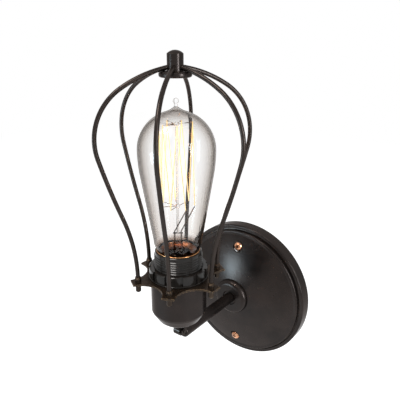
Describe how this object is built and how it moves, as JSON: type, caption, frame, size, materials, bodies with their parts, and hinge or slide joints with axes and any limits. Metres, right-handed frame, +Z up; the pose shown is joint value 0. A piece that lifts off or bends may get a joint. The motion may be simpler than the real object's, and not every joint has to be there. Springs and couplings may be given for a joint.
{
  "type": "cage wall light",
  "caption": "Wall light with a domed round canopy, a straight arm, a tilting swivel and a bent-wire cage round a clear filament bulb on a threaded socket.",
  "frame": {"origin": "centre of the canopy's back on the wall plane", "axes": "+Y into the wall, so the light stands out towards -Y; +Z up, towards the top of the cage"},
  "size_m": [0.1396, 0.1663, 0.3078],
  "materials": {
    "bronze": "dark oil-rubbed bronze, satin",
    "copper": "copper, satin",
    "brass": "satin",
    "zinc": "zinc plated",
    "green": "green dyed",
    "phenolic": "moulded, slight sheen",
    "glass": "clear, faint warm tint",
    "base_shell": "satin",
    "black_glass": "glossy",
    "filament": "glowing amber"
  },
  "bodies": {
    "wall_side": {"canopy": "bronze", "crossbar": "zinc", "canopy_screws": "copper", "ground_screw": "green", "arm_collar": "bronze", "arm_tube": "bronze", "arm_locknut": "brass", "arm_lock_washer": "zinc", "swivel_arm_half": "bronze", "swivel_screw": "bronze", "swivel_nut": "bronze"},
    "head": {"swivel_cup_half": "bronze", "cup_locknut": "brass", "cup_lock_washer": "zinc", "socket_cup": "bronze", "socket_body": "phenolic", "screw_shell": "copper", "centre_contact": "brass", "terminal_screws": "brass", "cage_ring": "bronze", "cage_wire_1": "bronze", "cage_wire_2": "bronze", "cage_wire_3": "bronze", "cage_wire_4": "bronze", "cage_wire_5": "bronze", "cage_wire_6": "bronze", "wire_ferrules": "bronze", "hub_disc": "bronze", "hub_cap": "bronze", "hub_screw": "bronze"},
    "shade_ring": {"shade_ring": "phenolic"},
    "bulb": {"bulb_glass": "glass", "bulb_base": "base_shell", "base_insulator": "black_glass", "base_contact": "zinc", "glass_stem": "glass", "lead_wires": "copper", "filament_hooks": "zinc", "filament": "filament"}
  },
  "joints": [
    {"name": "head_tilt", "type": "hinge", "parent": "wall_side", "child": "head", "pos_m": [0, -0.11, 0.0055], "axis": [1, 0, 0], "range_deg": [-12, 135]},
    {"name": "shade_ring_turn", "type": "hinge", "parent": "head", "child": "shade_ring", "pos_m": [0, -0.11, 0.058], "axis": [0, 0, 1], "continuous": true},
    {"name": "bulb_turn", "type": "hinge", "parent": "head", "child": "bulb", "pos_m": [0, -0.11, 0.058], "axis": [0, 0, 1], "continuous": true}
  ]
}
